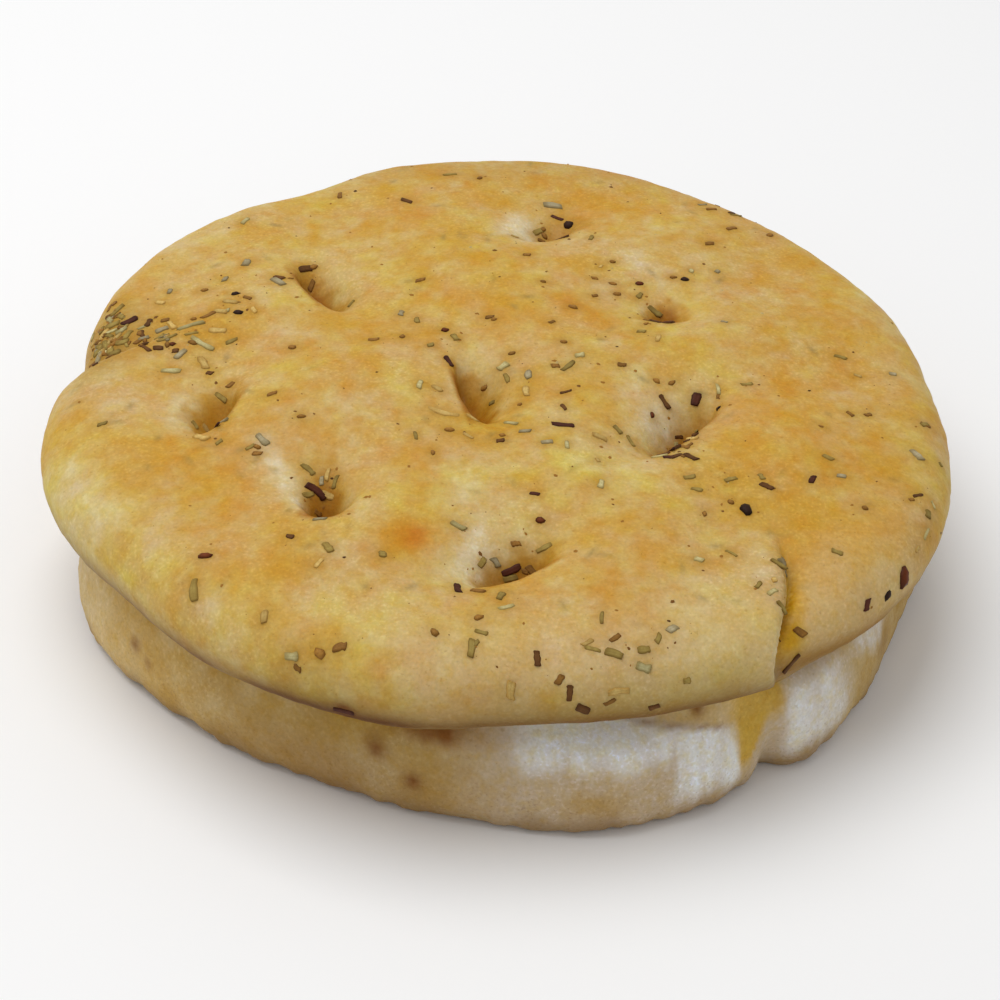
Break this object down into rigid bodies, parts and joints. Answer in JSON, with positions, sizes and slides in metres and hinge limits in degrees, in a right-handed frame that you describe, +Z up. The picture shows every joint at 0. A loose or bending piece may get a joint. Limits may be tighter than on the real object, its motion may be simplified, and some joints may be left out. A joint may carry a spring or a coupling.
{
  "type": "focaccia",
  "caption": "Round herbed focaccia: a domed, finger-dimpled lid of dough with a rolled rim over a narrower base, dried herb flakes in its crust; food that rests on its flat underside",
  "frame": {"origin": "middle of the flat underside, on the surface that the bread rests on, at the centre of the bounding box in X and Y", "axes": "+Z up through the dimpled top, -Y towards the front where the pale side wall shows, +X to the right of the front, where the edge fold is"},
  "size_m": [0.1584, 0.1631, 0.0416],
  "materials": {
    "crust": "golden baked crust, satin with a little oil"
  },
  "bodies": {
    "root": {"focaccia": "crust"}
  },
  "joints": []
}
